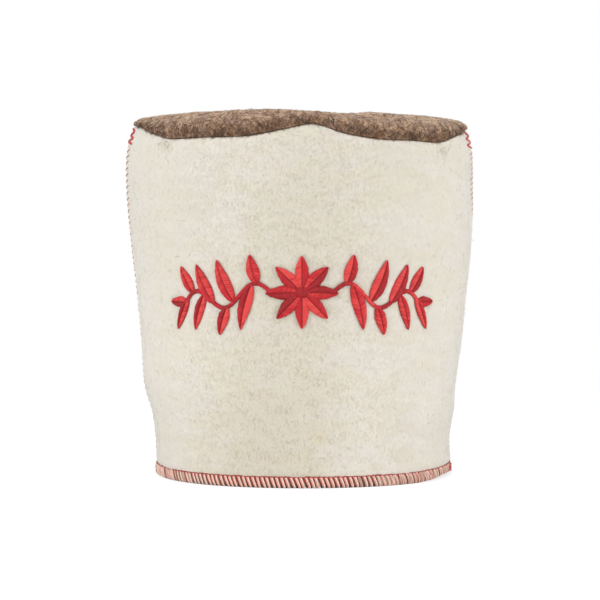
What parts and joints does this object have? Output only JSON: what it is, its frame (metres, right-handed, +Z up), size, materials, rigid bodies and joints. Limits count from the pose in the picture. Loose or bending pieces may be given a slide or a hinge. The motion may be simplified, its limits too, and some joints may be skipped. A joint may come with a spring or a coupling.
{
  "type": "felt cossack hat",
  "caption": "Tall flared felt hat open at the hem, with a rolled dark crown, a thread-wound hem and a stitched leaf spray across the front.",
  "frame": {"origin": "centre of the hem's footprint box, on the surface that the hem rests on", "axes": "+Z up from the hem to the crown, -Y out of the embroidered front, +X to the right seen from the front"},
  "size_m": [0.2374, 0.204, 0.2502],
  "materials": {
    "cream_felt": "matt wool felt with short loose fibres",
    "brown_felt": "matt wool felt, mottled grey-brown",
    "hem_thread": "overlock thread in red, salmon and cream",
    "red_thread": "glossy satin stitch"
  },
  "bodies": {
    "root": {"front_panel": "cream_felt", "back_panel": "cream_felt", "crown": "brown_felt", "hem_thread": "hem_thread", "embroidery": "red_thread"}
  },
  "joints": []
}
